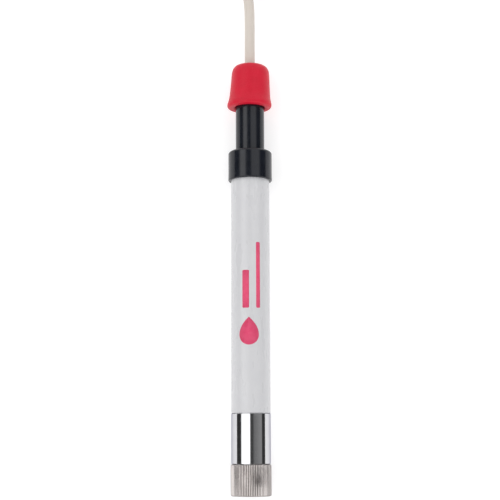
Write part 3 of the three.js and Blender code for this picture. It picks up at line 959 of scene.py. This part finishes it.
def make_board():
    plate = bmesh.new()
    add_box(plate, (0, (BOARD_LOW + BOARD_HIGH) / 2, 0),
            (BOARD_WIDTH, BOARD_HIGH - BOARD_LOW, 2 * BOARD_FACE), 0.12)
    fit(finished("bare_board", plate), "circuit_board")

    chip = bmesh.new()
    add_box(chip, (0, 102.5, BOARD_FACE + 0.85), (4, 5.2, 1.4), 0.15)
    board_piece("board_chip", chip, "epoxy")
    metal = bmesh.new()
    for row in range(4):
        for side in (-1, 1):
            along = 100.5 + 1.27 * row
            add_box(metal, (side * 2.4, along, BOARD_FACE + 0.5), (0.8, 0.42, 0.16), 0.04)
            add_box(metal, (side * 2.85, along, BOARD_FACE + 0.3), (0.16, 0.42, 0.5), 0.04)
    for across in (-3, -1, 1, 3):
        add_box(metal, (across, 114.2, BOARD_FACE + 0.06), (1.3, 2.2, 0.1))
    for across in (-1, 1, PAIR_AT):
        add_box(metal, (across, 71.6, BOARD_FACE + 0.06), (1.3, 2.2, 0.1))
    for across, along in ((-3.6, 80), (3.6, 80), (-3.6, 95), (3.6, 95)):
        for end in (-0.75, 0.75):
            add_box(metal, (across, along + end, BOARD_FACE + 0.3), (0.85, 0.35, 0.5), 0.05)
    board_piece("board_metal", metal, "silver")
    small = bmesh.new()
    for across, along in ((-3.6, 80), (3.6, 80), (-3.6, 95), (3.6, 95)):
        add_box(small, (across, along, BOARD_FACE + 0.3), (0.8, 1.15, 0.5), 0.05)
    board_piece("board_small_parts", small, "resistor")

    bead = spun([(0, 26.8), (0.6, 26.85, 0.2), (0.95, 27.3, 0.3), (1, 28), (1, 30.7, 0.3),
                 (0.45, 31.2, 0.2), (0, 31.2)], steps=32)
    at_bead = ON_AXIS @ Matrix.Translation((PAIR_AT, 0, WIRE_AT))
    fit(finished("thermistor_bead", bead, at_bead), "thermistor")
    load = spun([(0, -6), (0.3, -6, 0.08), (0.3, -3.1, 0.1), (0.9, -2.95, 0.2), (1.1, -2.3, 0.3),
                 (0.95, -1.6, 0.3), (0.95, 1.6, 0.3), (1.1, 2.3, 0.3), (0.9, 2.95, 0.2),
                 (0.3, 3.1, 0.1), (0.3, 6, 0.08), (0, 6)], steps=32)
    place = middle("load_resistor")
    at_load = Matrix.Translation(place) @ Matrix.Scale(MM, 4)
    fit(finished("wirewound_load", load, at_load), "load_resistor")


# ---- the print on the tube: a plain water drop and two plain stripes ----

PRINT_THICKNESS = 0.03
DROP_RADIUS = 4.1


def print_ink():
    ink = Finish("print_ink", (0.72, 0.045, 0.14), 0.45)
    ink.tint(ink.grain(1.5, detail=4), (0.78, 0.09, 0.2), 0.6)
    ink.vary_gloss(ink.grain(0.5, detail=3, seed=1), 0.4, 0.55)
    return ink.material


def wrapped(name, bm, ink):
    """Lays a flat shape, drawn in arc length and distance along, on the tube and gives it body."""
    for offset in range(-20, 21):
        everything = bm.verts[:] + bm.edges[:] + bm.faces[:]
        bmesh.ops.bisect_plane(bm, geom=everything, plane_co=(offset * 0.3, 0, 0),
                               plane_no=(1, 0, 0))
    radius = TUBE.radius + 0.005
    for vert in bm.verts:
        turn = vert.co.x / radius
        vert.co = (radius * math.sin(turn), vert.co.y, radius * math.cos(turn))
    piece = finished(name, bm)
    body = piece.modifiers.new("ink_thickness", "SOLIDIFY")
    body.thickness = PRINT_THICKNESS * MM
    body.offset = 1
    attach(piece, BODY_OF["body_tube"])
    piece.data.materials.append(ink)
    return piece


def make_print():
    ink = print_ink()
    drop = bmesh.new()
    bmesh.ops.create_circle(drop, cap_ends=True, segments=64, radius=DROP_RADIUS)
    for vert in drop.verts:
        if vert.co.y > 0:
            rise = vert.co.y / DROP_RADIUS
            vert.co.x *= (1 - rise ** 2) ** 0.55
            vert.co.y *= 1.75
    bmesh.ops.translate(drop, verts=drop.verts, vec=(-0.7, 64.2, 0))
    wrapped("printed_drop", drop, ink)
    for name, left, right, low, high in (
        ("printed_stripe_wide", -3.4, -0.6, 75, 90.5),
        ("printed_stripe_narrow", 2.3, 4.0, 75, 102),
    ):
        stripe = bmesh.new()
        bmesh.ops.create_grid(stripe, x_segments=1, y_segments=1, size=0.5)
        bmesh.ops.scale(stripe, verts=stripe.verts, vec=(right - left, high - low, 1))
        bmesh.ops.translate(stripe, verts=stripe.verts,
                            vec=((left + right) / 2, (low + high) / 2, 0))
        bmesh.ops.bevel(stripe, geom=stripe.verts[:], offset=0.5, segments=5, profile=0.5,
                        affect="VERTICES", material=-1)
        wrapped(name, stripe, ink)


make_cap()
make_sleeve()
make_plain_turned()
make_membrane()
make_tube()
make_collar()
make_neck()
make_gland_nut()
make_boot()
make_wires()
make_board()
make_print()

for node, mesh in frame["nodes"].items():
    if not mesh.hide_render:
        mesh.data.materials.clear()
        mesh.data.materials.append(FINISHES[SLOT_OF[node]])
